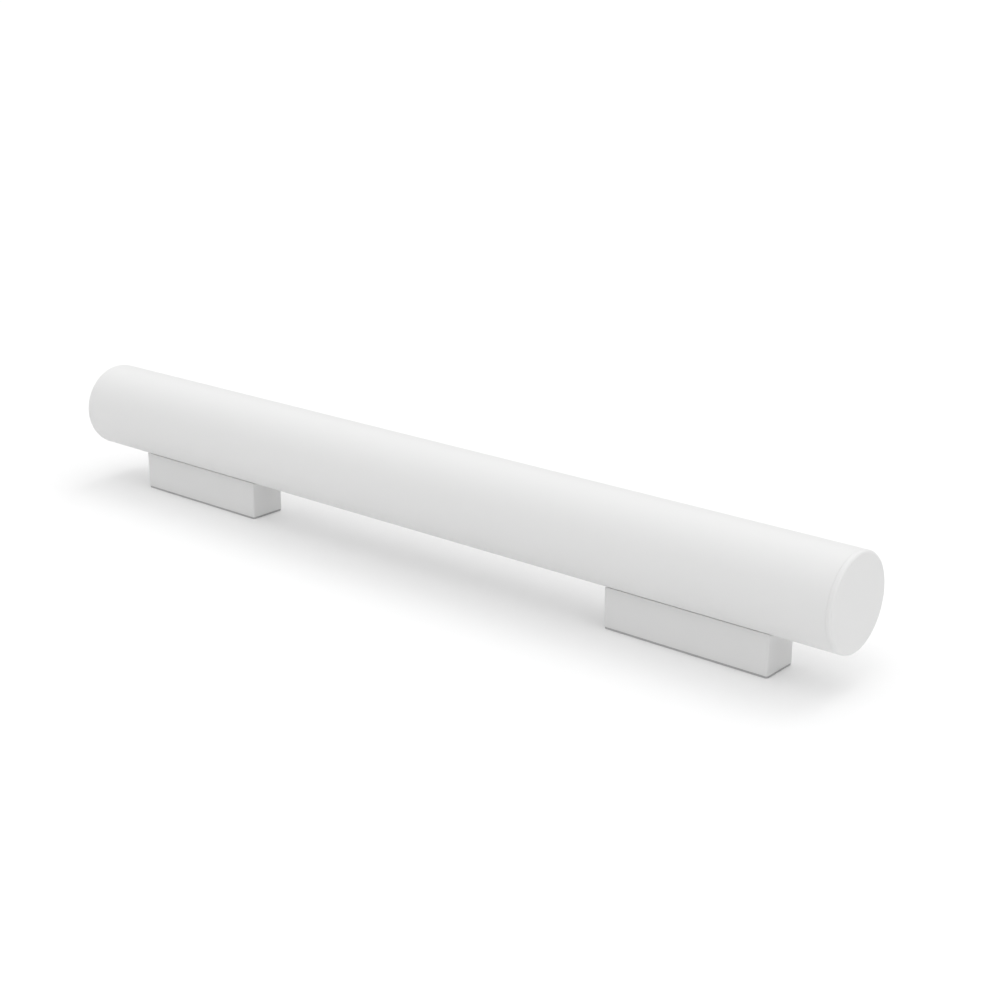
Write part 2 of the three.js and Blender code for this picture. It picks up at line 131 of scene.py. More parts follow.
class FixingSizes(bpy.types.PropertyGroup):
    plate_fit: measure("Plate fit", "Gap round a wall plate in its recess", 0.2 * MM)
    plate_corner: measure("Plate corners", "Radius of a wall plate's corners", 1.5 * MM)
    plate_edge: measure("Plate edges", "Radius of a wall plate's top and bottom edges", 0.25 * MM)
    wall_hole_inset: measure(
        "Wall hole inset", "From a wall plate's end to its screw hole's centre", 7.0 * MM
    )
    wall_hole: measure("Wall hole", "Diameter of a wall screw's hole", 4.4 * MM)
    wall_hole_head: measure(
        "Wall hole head", "Diameter of the countersink for a wall screw's head", 7.6 * MM
    )
    dimple_depth: measure(
        "Dimple depth", "Depth of the cone in a wall plate's edge that takes a set screw's point", 0.9 * MM
    )
    dimple_floor: measure("Dimple floor", "Radius of a dimple's flat floor", 0.4 * MM)
    bolt_diameter: measure("Bolt diameter", "Thread of a rail bolt", 5.0 * MM)
    bolt_knurl: measure("Bolt knurl", "Depth of the grooves round a rail bolt's head", 0.18 * MM)
    bolt_plain: measure("Bolt shank", "Unthreaded length under a rail bolt's head", 5.0 * MM)
    bolt_chamfer: measure("Bolt head edge", "Chamfer of a rail bolt's head", 0.4 * MM)
    bolt_end_chamfer: measure("Bolt end chamfer", "Chamfer of a rail bolt's end", 0.6 * MM)
    bolt_socket: measure("Bolt socket", "A rail bolt's socket, across its flats", 4.0 * MM)
    bolt_socket_depth: measure("Bolt socket depth", "Depth of a rail bolt's socket", 2.5 * MM)
    bolt_pitch: measure("Bolt thread pitch", "Pitch of a rail bolt's thread", 0.8 * MM)
    bolt_head: measure("Bolt head height", "Height of a rail bolt's head", 5.0 * MM)
    washer_fit: measure("Washer fit", "Radial gap between a spring washer and its bolt", 0.1 * MM)
    washer_rise: measure(
        "Washer rise", "How far a spring washer still climbs when it is pressed", 0.2 * MM
    )
    washer_slit: measure("Washer slit", "Width of the slit in a spring washer", 0.7 * MM)
    washer_edge: measure("Washer edges", "Radius of a spring washer's edges", 0.15 * MM)
    screw_pitch: measure("Set screw pitch", "Pitch of a set screw's thread", 0.5 * MM)
    screw_point: measure("Set screw point", "Diameter of a set screw's blunt point", 0.6 * MM)
    screw_chamfer: measure("Set screw chamfer", "Chamfer of a set screw's outer end", 0.2 * MM)
    screw_socket: measure("Set screw socket", "A set screw's socket, across its flats", 1.5 * MM)
    screw_socket_depth: measure("Set screw socket depth", "Depth of a set screw's socket", 1.3 * MM)


class Finishes(bpy.types.PropertyGroup):
    white: tint("White", "Colour of the sleeve, caps and foot shells", (0.80, 0.80, 0.797))
    white_shade: tint(
        "White, shaded", "The slightly greyer white that drifts through the plastic", (0.785, 0.786, 0.784)
    )
    # The gaskets' grey is partly their own colour and partly painted shade, standing in for the contact
    # shadow along each foot's base.
    rubber: tint("Rubber", "Colour of the gaskets", (0.54, 0.54, 0.545))


class StageSizes(bpy.types.PropertyGroup):
    azimuth: angle("Azimuth", "Camera's angle round the rail, from straight in front", 40.1)
    elevation: angle("Elevation", "Camera's angle above the level", 18.58)
    distance: measure("Distance", "Camera to target", 0.7126)
    target: bpy.props.FloatVectorProperty(
        name="Target",
        description="The point in the middle of the picture",
        subtype="TRANSLATION",
        unit="LENGTH",
        default=(0.0395, 0.0, 0.03706),
    )
    lens: bpy.props.FloatProperty(
        name="Lens", description="Focal length in millimetres", default=63.8
    )
    dome: brightness("Dome", "Even light from all round", 0.195)
    overhead: brightness("Overhead", "Very broad light from straight above", 1.86)
    right: brightness("Right", "Broad light from above and to the right", 0.58)
    front: brightness("Front", "Soft light from above and in front", 0.32)
    back: brightness("Back", "Soft light from above and behind", 0.35)
    overhead_spread: angle("Overhead spread", "How broad the overhead light is", 140.0)
    right_spread: angle("Right spread", "How broad the light from the right is", 90.0)
    soft_spread: angle("Soft spread", "How broad the front and back lights are", 40.0)
    lean: angle("Lean", "How far the side lights lean from straight above", 30.0)
    floor_reach: measure("Floor reach", "From the middle to the floor's edge", 12.0)
    floor_drop: measure("Floor drop", "How far the floor is below the feet", 0.02 * MM)
    floor_white: bpy.props.FloatProperty(
        name="Floor", description="How white the floor is", default=0.93, min=0.0, max=1.0
    )


# ---------------------------------------------------------------- materials


class Value:
    """A shader socket that Python's arithmetic adds Math nodes to."""

    def __init__(self, finish, socket):
        self.finish, self.socket = finish, socket

    def _math(self, operation, first, second):
        node = self.finish.node("ShaderNodeMath", {"operation": operation}, {0: first, 1: second})
        return Value(self.finish, node.outputs[0])

    def __add__(self, other):
        return self._math("ADD", self, other)

    def __radd__(self, other):
        return self._math("ADD", other, self)

    def __mul__(self, other):
        return self._math("MULTIPLY", self, other)

    def __rmul__(self, other):
        return self._math("MULTIPLY", other, self)

    def __pow__(self, other):
        return self._math("POWER", self, other)

    def __rpow__(self, other):
        return self._math("POWER", other, self)


class Nodes:
    """Adds nodes to self.tree, each with its settings first and then its values and links."""

    def node(self, kind, settings=None, sockets=None):
        node = self.tree.nodes.new(kind)
        for name, value in (settings or {}).items():
            setattr(node, name, value)
        for key, value in (sockets or {}).items():
            self.join(value, node.inputs[key])
        return node

    def join(self, value, socket):
        if isinstance(value, Value):
            value = value.socket
        if isinstance(value, bpy.types.NodeSocket):
            self.tree.links.new(value, socket)
        else:
            socket.default_value = value


class Finish(Nodes):
    """A node material, with the values that are the same all over set on its own shader."""

    def __init__(self, name, constants):
        self.material = bpy.data.materials.new(name)
        self.material.use_nodes = True
        self.tree = self.material.node_tree
        self.shader = self.tree.nodes["Principled BSDF"]
        for socket, value in constants.items():
            self.shader.inputs[socket].default_value = value
        self.place = self.node("ShaderNodeTexCoord").outputs["Object"]

    def noise(self, size, detail=2.0, stretch=(1.0, 1.0, 1.0)):
        """Noise from 0 to 1 with features of about that size in metres, longer along a stretched axis."""
        scale = [1.0 / (size * s) for s in stretch]
        placed = self.node("ShaderNodeMapping", None, {"Vector": self.place, "Scale": scale})
        cloud = self.node(
            "ShaderNodeTexNoise",
            None,
            {"Vector": placed.outputs[0], "Scale": 1.0, "Detail": detail, "Roughness": 0.5},
        )
        return Value(self, cloud.outputs["Fac"])

    def mix(self, factor, first, second):
        """A colour between two colours."""
        node = self.node("ShaderNodeMix", {"data_type": "RGBA", "clamp_factor": True})
        self.join(factor, node.inputs[MIX_FACTOR])
        self.join(first, node.inputs[MIX_FIRST])
        self.join(second, node.inputs[MIX_SECOND])
        return node.outputs[MIX_RESULT]

    def colour(self, value):
        self.join(value, self.shader.inputs["Base Color"])

    def roughness(self, value):
        self.join(value, self.shader.inputs["Roughness"])

    def relief(self, height, depth):
        """Bumps of that depth in metres, from a height between 0 and 1."""
        bump = self.node("ShaderNodeBump", None, {"Height": height, "Distance": depth, "Strength": 1.0})
        self.join(bump.outputs[0], self.shader.inputs["Normal"])


def opaque(colour):
    return (*colour, 1.0)


def made_once(make):
    """Lets several pieces ask for the same material."""
    return lambda: bpy.data.materials.get(make.__name__) or make()


def chosen():
    return bpy.context.scene.grab_rail_finishes


@made_once
def drawn_polyamide():
    """The sleeve: extruded, so its grain and faint die lines run along the rail."""
    finish = Finish("drawn_polyamide", {"Specular IOR Level": 0.35})
    drift = finish.noise(0.06, 2.0, (3.0, 1.0, 1.0))
    finish.colour(finish.mix(drift, opaque(chosen().white), opaque(chosen().white_shade)))
    grain = finish.noise(0.35 * MM, 3.0)
    lines = finish.noise(0.5 * MM, 2.0, (60.0, 1.0, 1.0))
    handling = finish.noise(0.02, 3.0, (2.0, 1.0, 1.0))
    finish.roughness(0.5 + 0.08 * handling + 0.05 * grain)
    finish.relief(0.7 * grain + 0.3 * lines, 0.012 * MM)
    return finish.material


@made_once
def moulded_polyamide():
    """The caps and foot shells: moulded in a finely sparked tool."""
    finish = Finish("moulded_polyamide", {"Specular IOR Level": 0.35})
    drift = finish.noise(0.03)
    finish.colour(finish.mix(drift, opaque(chosen().white), opaque(chosen().white_shade)))
    spark = finish.noise(0.3 * MM, 3.0)
    flow = finish.noise(0.012)
    finish.roughness(0.52 + 0.06 * flow + 0.05 * spark)
    finish.relief(spark, 0.012 * MM)
    return finish.material


# Grey for the gaskets and the cap seals; on the gaskets this grey is also painted shade for the contact
# shadow along each foot's base.
@made_once
def rubber_and_painted_base_shade():
    finish = Finish("rubber_and_painted_base_shade", {"Specular IOR Level": 0.3})
    cells = finish.noise(0.25 * MM, 4.0)
    bloom = finish.noise(0.008)
    darker = tuple(0.8 * c for c in chosen().rubber)
    finish.colour(finish.mix(0.5 * cells + 0.5 * bloom, opaque(darker), opaque(chosen().rubber)))
    finish.roughness(0.75 + 0.15 * cells)
    finish.relief(cells, 0.03 * MM)
    return finish.material


@made_once
def drawn_steel():
    """The core tube and nut bars: bright drawn steel with a thin film of oil."""
    finish = Finish("drawn_steel", {"Metallic": 1.0})
    lines = finish.noise(0.4 * MM, 3.0, (80.0, 1.0, 1.0))
    film = finish.noise(0.015, 3.0)
    finish.colour(finish.mix(film, (0.5, 0.51, 0.53, 1.0), (0.6, 0.605, 0.615, 1.0)))
    finish.roughness(0.22 + 0.16 * lines + 0.14 * film)
    finish.relief(lines, 0.01 * MM)
    return finish.material


@made_once
def cast_aluminium():
    """The foot cores: die-cast and tumbled, with a peened skin."""
    finish = Finish("cast_aluminium", {"Metallic": 1.0})
    skin = finish.noise(0.6 * MM, 4.0)
    stain = finish.noise(0.01, 3.0)
    finish.colour(finish.mix(stain, (0.6, 0.61, 0.63, 1.0), (0.72, 0.725, 0.73, 1.0)))
    finish.roughness(0.42 + 0.14 * skin + 0.08 * stain)
    finish.relief(skin, 0.04 * MM)
    return finish.material


@made_once
def zinc_plate():
    """Plates, bolts and washers: bright zinc with a faint blue and straw cast."""
    finish = Finish("zinc_plate", {"Metallic": 1.0})
    cast = finish.noise(0.006, 3.0)
    pits = finish.noise(0.2 * MM, 3.0)
    finish.colour(finish.mix(cast, (0.62, 0.66, 0.72, 1.0), (0.72, 0.71, 0.66, 1.0)))
    finish.roughness(0.24 + 0.12 * cast + 0.08 * pits)
    finish.relief(pits, 0.008 * MM)
    return finish.material


@made_once
def black_oxide():
    """The set screws."""
    finish = Finish("black_oxide", {"Metallic": 0.85})
    wear = finish.noise(0.5 * MM, 4.0)
    finish.colour(finish.mix(wear**2.0, (0.045, 0.045, 0.05, 1.0), (0.14, 0.14, 0.145, 1.0)))
    finish.roughness(0.4 + 0.2 * wear)
    finish.relief(wear, 0.006 * MM)
    return finish.material


def white_floor(white):
    finish = Finish("white_floor", {"Roughness": 0.9, "Specular IOR Level": 0.0})
    drift = finish.noise(0.8)
    finish.colour(finish.mix(drift, opaque((white,) * 3), opaque((white * 0.995,) * 3)))
    return finish.material


# ---------------------------------------------------------------- mesh work


def centre(box):
    return (box[0] + box[1]) / 2


def new_object(name, data):
    obj = bpy.data.objects.new(name, data)
    bpy.context.scene.collection.objects.link(obj)
    return obj


def mesh_from(name, points, faces):
    mesh = bpy.data.meshes.new(name)
    mesh.from_pydata(points, [], faces)
    point_outwards(mesh)
    return mesh


def ring_mesh(name, rows):
    """A closed ring: each row is a loop of points, and the last row joins the first."""
    count = len(rows[0])
    points = [point for row in rows for point in row]
    faces = []
    for r in range(len(rows)):
        below, above = r * count, (r + 1) % len(rows) * count
        for i in range(count):
            j = (i + 1) % count
            faces.append((below + i, below + j, above + j, above + i))
    return mesh_from(name, points, faces)


def capped_mesh(name, rows):
    """A solid from loops of points, closed with a flat face at its first and last loop."""
    count = len(rows[0])
    points = [point for row in rows for point in row]
    faces = []
    for r in range(len(rows) - 1):
        for i in range(count):
            j = (i + 1) % count
            faces.append((r * count + i, r * count + j, (r + 1) * count + j, (r + 1) * count + i))
    faces.append(range(count))
    faces.append(range(len(points) - count, len(points)))
    return mesh_from(name, points, faces)


def turned_mesh(name, profile, segments, to_axis=None):
    """A solid turned about Z, closed at both ends; profile points are (radius, height)."""
    points, rows = [], []
    for radius, height in profile:
        rows.append(range(len(points), len(points) + (segments if radius > 0 else 1)))
        for i in range(len(rows[-1])):
            turn = math.tau * i / segments
            points.append((radius * math.cos(turn), radius * math.sin(turn), height))
    faces = []
    for below, above in zip(rows, rows[1:]):
        for i in range(segments):
            j = (i + 1) % segments
            corners = [below[i % len(below)], below[j % len(below)]]
            corners += [above[j % len(above)], above[i % len(above)]]
            distinct = list(dict.fromkeys(corners))
            if len(distinct) > 2:
                faces.append(distinct)
    mesh = mesh_from(name, points, faces)
    if to_axis is not None:
        mesh.transform(to_axis)
    return mesh


def block_outline(length, width, radius):
    """Points round an upright block, with one close to each end of every straight side."""
    corner_steps, side_steps, near_corner = 8, 8, 0.02
    x, y = length / 2 - radius, width / 2 - radius
    points = []
    for quarter, (cx, cy) in enumerate(((x, -y), (x, y), (-x, y), (-x, -y))):
        for i in range(corner_steps + 1):
            turn = math.pi / 2 * (quarter - 1 + i / corner_steps)
            points.append((cx + radius * math.cos(turn), cy + radius * math.sin(turn)))
        start, (nx, ny) = points[-1], ((x, y), (-x, y), (-x, -y), (x, -y))[quarter]
        turn = math.pi / 2 * quarter
        end = (nx + radius * math.cos(turn), ny + radius * math.sin(turn))
        shares = [k / side_steps for k in range(1, side_steps)]
        for share in (near_corner, *shares, 1 - near_corner):
            points.append(tuple(a + share * (b - a) for a, b in zip(start, end)))
    return points


def block_row(middle, size, radius, height):
    """A rounded block's outline about that X, at a height or at a height worked out from x and y."""
    outline = block_outline(*size, radius)
    return [
        (middle + x, y, height(x, y) if callable(height) else height) for x, y in outline
    ]


def point_outwards(mesh):
    work = bmesh.new()
    work.from_mesh(mesh)
    bmesh.ops.remove_doubles(work, verts=work.verts, dist=SAME_POINT)
    bmesh.ops.recalc_face_normals(work, faces=work.faces)
    work.to_mesh(mesh)
    work.free()


def shade(mesh):
    mesh.shade_smooth()
    mesh.set_sharp_from_angle(angle=SHARP_ABOVE)


def made_plain(obj):
    """The object with its modifiers' result as its own mesh."""
    graph = bpy.context.evaluated_depsgraph_get()
    mesh = bpy.data.meshes.new_from_object(obj.evaluated_get(graph), depsgraph=graph)
    mesh.name = obj.name
    if obj.type == "MESH":
        obj.modifiers.clear()
        obj.data = mesh
        return obj
    name = obj.name
    bpy.data.objects.remove(obj)
    return new_object(name, mesh)


def cut(obj, cutters):
    """Cuts each closed mesh out of the object."""
    tools = [new_object("cutter", mesh) for mesh in cutters]
    for tool in tools:
        modifier = obj.modifiers.new("cut", "BOOLEAN")
        modifier.operation = "DIFFERENCE"
        modifier.solver = "EXACT"
        modifier.object = tool
    made_plain(obj)
    for tool in tools:
        bpy.data.objects.remove(tool)


def hand_over(obj, material, body, slot, *nodes):
    """Finishes a piece: its material, the body it rides on, and the nodes it stands for. The slot is not
    used.
    """
    obj.data.materials.clear()
    obj.data.materials.append(material)
    shade(obj.data)
    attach(obj, body)
    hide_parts(*nodes)


def fillet(radius, corner, start, steps=8):
    """Points (radius, height) round a quarter turn; start is the angle that it begins at."""
    turns = [start + math.pi / 2 * i / steps for i in range(steps + 1)]
    return [(corner[0] + radius * math.cos(a), corner[1] + radius * math.sin(a)) for a in turns]


def rounding(radius, steps):
    """Steps (inset, rise) up a rounded lower edge, from its flat underside to its upright side."""
    turns = [math.pi / 2 * i / steps for i in range(steps + 1)]
    return [(radius * (1 - math.sin(a)), radius * (1 - math.cos(a))) for a in turns]


def rounded_slab(edge, thickness):
    """Steps (inset, rise) up a slab's side, with both its edges rounded."""
    below = rounding(edge, 4)
    return below + [(inset, thickness - rise) for inset, rise in reversed(below)]


Z_TO_Y = Matrix.Rotation(-math.pi / 2, 4, "X")


def rail_axis():
    """The height of the rail's axis."""
    return centre(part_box("rail_sleeve")).z


# ---------------------------------------------------------------- Geometry Nodes


class NodeTree(Nodes):
    """A Geometry Nodes tree with named inputs."""

    def __init__(self, name):
        self.tree = bpy.data.node_groups.new(name, "GeometryNodeTree")
        self.tree.interface.new_socket("Geometry", in_out="INPUT", socket_type="NodeSocketGeometry")
        self.tree.interface.new_socket("Geometry", in_out="OUTPUT", socket_type="NodeSocketGeometry")
        self.given = self.tree.nodes.new("NodeGroupInput")
        self.result = self.tree.nodes.new("NodeGroupOutput")

    def ask(self, name, kind):
        self.tree.interface.new_socket(name, in_out="INPUT", socket_type="NodeSocket" + kind)
        return self.given.outputs[name]

    def end(self, geometry, material):
        real = self.node("GeometryNodeRealizeInstances", None, {"Geometry": geometry})
        named = self.node(
            "GeometryNodeSetMaterial", None, {"Geometry": real.outputs[0], "Material": material}
        )
        self.tree.links.new(named.outputs[0], self.result.inputs[0])
        return self.tree


def run_tree(obj, tree, values):
    """Adds the tree to the object with its inputs set, and returns the plain result."""
    modifier = obj.modifiers.new(tree.name, "NODES")
    modifier.node_group = tree
    for item in tree.interface.items_tree:
        if item.in_out == "INPUT" and item.name in values:
            modifier[item.identifier] = values[item.name]
    return made_plain(obj)


def turning_tree():
    """Turns a closed outline about the X axis: the outline's X is its distance past the path."""
    made = NodeTree("turn_outline")
    path_radius = made.ask("Path radius", "Float")
    segments = made.ask("Segments", "Int")
    height = made.ask("Axis height", "Float")
    material = made.ask("Material", "Material")
    path = made.node(
        "GeometryNodeCurvePrimitiveCircle", None, {"Radius": path_radius, "Resolution": segments}
    )
    outline = made.given.outputs["Geometry"]
    swept = made.node(
        "GeometryNodeCurveToMesh", None, {"Curve": path.outputs[0], "Profile Curve": outline}
    )
    place = made.node("ShaderNodeCombineXYZ", None, {"Z": height})
    laid = made.node(
        "GeometryNodeTransform",
        None,
        {
            "Geometry": swept.outputs[0],
            "Translation": place.outputs[0],
            "Rotation": (0.0, -math.pi / 2, 0.0),
        },
    )
    return made.end(laid.outputs[0], material)


def outline_curve(name, points, path_radius):
    """A closed flat curve through (radius, station) points, as the turning tree reads them."""
    curve = bpy.data.curves.new(name, "CURVE")
    curve.dimensions = "3D"
    spline = curve.splines.new("POLY")
    spline.points.add(len(points) - 1)
    for point, (radius, station) in zip(spline.points, points):
        point.co = (radius - path_radius, station, 0.0, 1.0)
    spline.use_cyclic_u = True
    return new_object(name, curve)


def copies_tree():
    """Copies a piece to two places in each foot."""
    made = NodeTree("copy_to_feet")
    foot_spacing = made.ask("Foot spacing", "Float")
    pair_spacing = made.ask("Pair spacing", "Float")
    material = made.ask("Material", "Material")
    rows = []
    for spacing in (foot_spacing, pair_spacing):
        half = made.node("ShaderNodeMath", {"operation": "MULTIPLY"}, {0: spacing, 1: -0.5})
        first = made.node("ShaderNodeCombineXYZ", None, {"X": half.outputs[0]})
        step = made.node("ShaderNodeCombineXYZ", None, {"X": spacing})
        rows.append(
            made.node(
                "GeometryNodeMeshLine",
                None,
                {"Count": 2, "Start Location": first.outputs[0], "Offset": step.outputs[0]},
            )
        )
    pairs = made.node(
        "GeometryNodeInstanceOnPoints",
        None,
        {"Points": rows[0].outputs[0], "Instance": rows[1].outputs[0]},
    )
    places = made.node("GeometryNodeRealizeInstances", None, {"Geometry": pairs.outputs[0]})
    copies = made.node(
        "GeometryNodeInstanceOnPoints",
        None,
        {"Points": places.outputs[0], "Instance": made.given.outputs["Geometry"]},
    )
    return made.end(copies.outputs[0], material)


def washer_tree():
    """A split spring washer: just under one turn of a square-section helix."""
    made = NodeTree("spring_washer")
    radius = made.ask("Mean radius", "Float")
    width = made.ask("Section width", "Float")
    thickness = made.ask("Section thickness", "Float")
    rise = made.ask("Rise", "Float")
    slit = made.ask("Slit", "Float")
    edge = made.ask("Edge radius", "Float")
    bottom = made.ask("Bottom", "Float")
    material = made.ask("Material", "Material")
    way_round = made.node("ShaderNodeMath", {"operation": "MULTIPLY"}, {0: radius, 1: math.tau})
    share = made.node(
        "ShaderNodeMath", {"operation": "DIVIDE"}, {0: slit, 1: way_round.outputs[0]}
    )
    open_turn = made.node("ShaderNodeMath", {"operation": "SUBTRACT"}, {0: 1.0, 1: share.outputs[0]})
    helix = made.node(
        "GeometryNodeCurveSpiral",
        None,
        {
            "Resolution": WASHER_SEGMENTS,
            "Rotations": open_turn.outputs[0],
            "Start Radius": radius,
            "End Radius": radius,
            "Height": rise,
        },
    )
    level = made.node("GeometryNodeSetCurveNormal", {"mode": "Z_UP"}, {"Curve": helix.outputs[0]})
    section = made.node(
        "GeometryNodeCurvePrimitiveQuadrilateral", None, {"Width": width, "Height": thickness}
    )
    eased = made.node(
        "GeometryNodeFilletCurve",
        {"mode": "POLY"},
        {"Curve": section.outputs[0], "Count": 3, "Radius": edge},
    )
    swept = made.node(
        "GeometryNodeCurveToMesh",
        None,
        {"Curve": level.outputs[0], "Profile Curve": eased.outputs[0], "Fill Caps": True},
    )
    place = made.node("ShaderNodeCombineXYZ", None, {"Z": bottom})
    raised = made.node(
        "GeometryNodeTransform", None, {"Geometry": swept.outputs[0], "Translation": place.outputs[0]}
    )
    return made.end(raised.outputs[0], material)


# ---------------------------------------------------------------- the rail


def size_of(node):
    low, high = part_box(node)
    return high - low


def rail_sleeve(sizes):
    """The white tube of the rail, with a window over each foot's core."""
    half = size_of("rail_sleeve").x / 2
    radius = size_of("rail_sleeve").y / 2
    bore = size_of("core_tube").y / 2 + sizes.tube_fit
    edge = sizes.seam_edge
    support = half - 4 * edge
    rim = [(radius, support), *fillet(edge, (radius - edge, half - edge), 0.0)]
    lip = [*fillet(edge, (bore + edge, half - edge), math.pi / 2), (bore, support)]
    right_end = rim + lip
    left_end = [(r, -station) for r, station in reversed(right_end)]
    path_radius = bore / 2
    outline = outline_curve("rail_sleeve_looks", left_end + right_end, path_radius)
    material = drawn_polyamide()
    values = {
        "Path radius": path_radius,
        "Segments": sizes.segments,
        "Axis height": rail_axis(),
        "Material": material,
    }
    sleeve = run_tree(outline, turning_tree(), values)
    point_outwards(sleeve.data)
    windows = []
    for side in SIDES:
        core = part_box(f"foot_core_{side}")
        room = size_of(f"foot_core_{side}") + 2 * Vector((sizes.window_fit,) * 3)
        rows = [
            block_row(centre(core).x, (room.x, room.y), sizes.window_fit, z)
            for z in (core[0].z, rail_axis())
        ]
        windows.append(capped_mesh("window", rows))
    cut(sleeve, windows)
    hand_over(sleeve, material, "rail", "white_polyamide", "rail_sleeve")


def end_cap(side, sizes):
    """A round-edged cap with a hollow spigot and the groove for its seal."""
    low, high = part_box(f"end_cap_{side}")
    outside = max(abs(low.x), abs(high.x))
    tip = min(abs(low.x), abs(high.x))
    inside = outside - sizes.cap_flange
    radius = size_of(f"end_cap_{side}").y / 2
    spigot = size_of("core_tube").y / 2 - sizes.tube_wall - sizes.spigot_fit
    bore = spigot - sizes.spigot_wall
    seal = size_of(f"cap_seal_{side}")
    groove = abs(centre(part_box(f"cap_seal_{side}")).x)
    groove_half = seal.x / 2 + sizes.seal_fit
    groove_floor = seal.y / 2 - seal.x - sizes.seal_fit
    edge, fine = sizes.cap_edge, sizes.seam_edge
    taper = sizes.spigot_taper
    profile = [
        (0.0, inside),
        (bore, inside),
        (bore, tip + 2 * fine),
        *fillet(fine, (bore + fine, tip + fine), math.pi, 4),
        (spigot - taper, tip),
        (spigot, tip + taper),
        (spigot, groove - groove_half - fine),
        (spigot - fine, groove - groove_half),
        (groove_floor, groove - groove_half),
        (groove_floor, groove + groove_half),
        (spigot - fine, groove + groove_half),
        (spigot, groove + groove_half + fine),
        (spigot, inside),
        (radius - 4 * fine, inside),
        *fillet(fine, (radius - fine, inside + fine), -math.pi / 2, 4),
        (radius, inside + 4 * fine),
        (radius, outside - edge - 2 * fine),
        *fillet(edge, (radius - edge, outside - edge), 0.0, 12),
        (radius - edge - 2 * fine, outside),
        (radius / 2, outside),
        (0.0, outside),
    ]
    turn = Matrix.Rotation(math.pi / 2 if side == "right" else -math.pi / 2, 4, "Y")
    place = Matrix.Translation((0.0, 0.0, rail_axis())) @ turn
    name = f"end_cap_{side}_looks"
    cap = new_object(name, turned_mesh(name, profile, sizes.segments, place))
    hand_over(cap, moulded_polyamide(), "rail", "white_polyamide", f"end_cap_{side}")


# ---------------------------------------------------------------- the feet


def set_screw_drills(side, profile):
    """A cutter for each set screw of a foot; profile points are (radius, station across the foot)."""
    drills = []
    for number in (1, 2):
        screw = centre(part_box(f"set_screw_{side}_{number}"))
        place = Matrix.Translation((screw.x, 0.0, screw.z)) @ Z_TO_Y
        drills.append(turned_mesh("drill", profile, HOLE_SEGMENTS, place))
    return drills


def foot_shell(side, sizes):
    """The white cover of a foot, saddled to the rail, with a hole for each set screw."""
    low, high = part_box(f"foot_shell_{side}")
    saddle = size_of("rail_sleeve").y / 2 + sizes.saddle_gap
    middle = centre((low, high)).x
    length, width = high.x - low.x, high.y - low.y
    wall = (width - size_of(f"foot_core_{side}").y) / 2 - sizes.core_fit
    edge, base, top = sizes.edge, sizes.base_edge, sizes.saddle_edge

    def row(inset, height):
        inwards = inset / wall
        radius = edge - inset if inset <= base else edge + (sizes.inner_edge - edge) * inwards
        return block_row(middle, (length - 2 * inset, width - 2 * inset), radius, height)

    def rise(distance):
        return low.z + distance

    def under_rail(drop):
        return lambda x, y: rail_axis() - math.sqrt(saddle**2 - y**2) - drop

    wall_height = rail_axis() - saddle - low.z
    support = 0.5 * base
    rows = [row(inset, rise(height)) for inset, height in rounding(base, 6)]
    rows.append(row(0.0, rise(base + support)))
    rows += [row(0.0, rise(wall_height * share)) for share in (0.25, 0.5, 0.75)]
    rows.append(row(0.0, under_rail(top + support)))
    rows += [row(inset, under_rail(drop)) for drop, inset in rounding(top, 6)]
    rows.append(row(top + support, under_rail(0.0)))
    rows.append(row(wall - support, under_rail(0.0)))
    rows.append(row(wall, under_rail(support)))
    rows.append(row(wall, rise(support)))
    rows.append(row(wall - support, rise(0.0)))
    rows.append(row(base + support, rise(0.0)))
    name = f"foot_shell_{side}_looks"
    shell = new_object(name, ring_mesh(name, rows))

    hole, chamfer = sizes.screw_hole / 2, sizes.hole_chamfer
    start = high.y - 2 * wall
    profile = [
        (0.0, start),
        (hole, start),
        (hole, high.y - chamfer),
        (hole + 2 * chamfer, high.y + chamfer),
        (0.0, high.y + chamfer),
    ]
    cut(shell, set_screw_drills(side, profile))
    hand_over(shell, moulded_polyamide(), "rail", "white_polyamide", f"foot_shell_{side}")


def base_gasket(side, sizes, fixings):
    """The soft-edged gasket ring that closes a foot against the wall; its grey is partly its own colour
    and partly painted shade along the foot's base.
    """
    low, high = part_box(f"base_gasket_{side}")
    middle = centre((low, high)).x
    outer = high - low
    plate = size_of(f"wall_plate_{side}")
    opening = (plate.x + 2 * fixings.plate_fit, plate.y + 2 * fixings.plate_fit)

    def outer_row(inset, height):
        size = (outer.x - 2 * inset, outer.y - 2 * inset)
        return block_row(middle, size, sizes.edge - inset, low.z + height)

    def inner_row(inset, height):
        size = (opening[0] + 2 * inset, opening[1] + 2 * inset)
        return block_row(middle, size, fixings.plate_corner + inset, low.z + height)

    steps = rounded_slab(sizes.gasket_edge, outer.z)
    rows = [outer_row(*step) for step in steps]
    rows += [inner_row(*step) for step in reversed(steps)]
    name = f"base_gasket_{side}_looks"
    gasket = new_object(name, ring_mesh(name, rows))
    # The gasket's grey also paints the contact shadow along the foot's base.
    hand_over(gasket, rubber_and_painted_base_shade(), "rail", "grey_rubber", f"base_gasket_{side}")


# ---------------------------------------------------------------- the fixings


